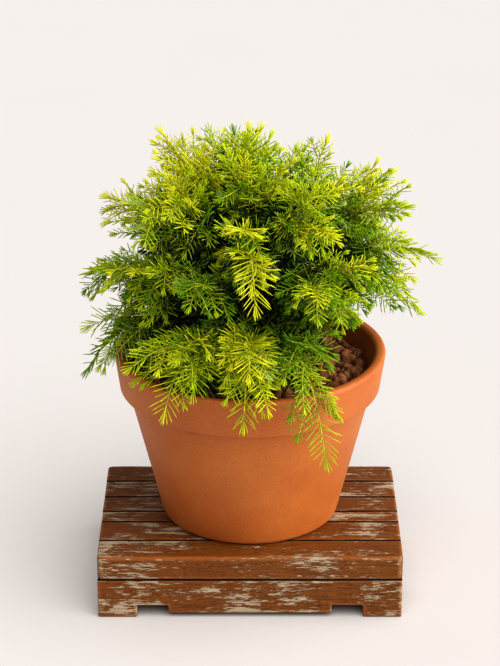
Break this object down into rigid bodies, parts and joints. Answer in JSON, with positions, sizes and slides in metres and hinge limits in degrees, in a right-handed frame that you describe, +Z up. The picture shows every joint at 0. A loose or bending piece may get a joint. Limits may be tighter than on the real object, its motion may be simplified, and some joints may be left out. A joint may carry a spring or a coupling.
{
  "type": "potted conifer",
  "caption": "Dwarf conifer with drooping sprays of soft needles, in a banded terracotta pot filled with clay granules, standing on a low slatted wooden stand.",
  "frame": {"origin": "on the floor under the middle of the whole object's box", "axes": "+Z up along the trunk, +X to the right along the stand's boards, -Y the front"},
  "size_m": [0.262, 0.2616, 0.3554],
  "materials": {
    "stand_wood": "stained and worn, satin",
    "terracotta": "unglazed, matte",
    "clay_granules": "porous, matte",
    "bark": "rough",
    "needles": "soft, satin"
  },
  "bodies": {
    "root": {"stand_board_1": "stand_wood", "stand_board_2": "stand_wood", "stand_board_3": "stand_wood", "stand_board_4": "stand_wood", "stand_board_5": "stand_wood", "stand_board_6": "stand_wood", "stand_apron_front": "stand_wood", "stand_apron_back": "stand_wood", "stand_apron_left": "stand_wood", "stand_apron_right": "stand_wood", "pot": "terracotta", "soil": "clay_granules", "trunk": "bark", "bough_low_left": "bark", "bough_low_front_left": "bark", "bough_low_front": "bark", "bough_low_front_right": "bark", "bough_low_right": "bark", "bough_low_back_right": "bark", "bough_low_back": "bark", "bough_low_back_left": "bark", "bough_low_far_left": "bark", "bough_mid_left": "bark", "bough_mid_front_left": "bark", "bough_mid_front": "bark", "bough_mid_front_right": "bark", "bough_mid_right": "bark", "bough_mid_back_right": "bark", "bough_mid_back": "bark", "bough_mid_back_left": "bark", "foliage_low_left": "needles", "foliage_low_front_left": "needles", "foliage_low_front": "needles", "foliage_low_front_right": "needles", "foliage_low_right": "needles", "foliage_low_back_right": "needles", "foliage_low_back": "needles", "foliage_low_back_left": "needles", "foliage_low_far_left": "needles", "foliage_mid_left": "needles", "foliage_mid_front_left": "needles", "foliage_mid_front": "needles", "foliage_mid_front_right": "needles", "foliage_mid_right": "needles", "foliage_mid_back_right": "needles", "foliage_mid_back": "needles", "foliage_mid_back_left": "needles", "foliage_shoulder_left": "needles", "foliage_shoulder_front_left": "needles", "foliage_shoulder_front": "needles", "foliage_shoulder_front_right": "needles", "foliage_shoulder_right": "needles", "foliage_shoulder_back": "needles", "foliage_upper_left": "needles", "foliage_upper_front": "needles", "foliage_upper_right": "needles", "foliage_upper_back": "needles", "foliage_crown_top": "needles"}
  },
  "joints": []
}
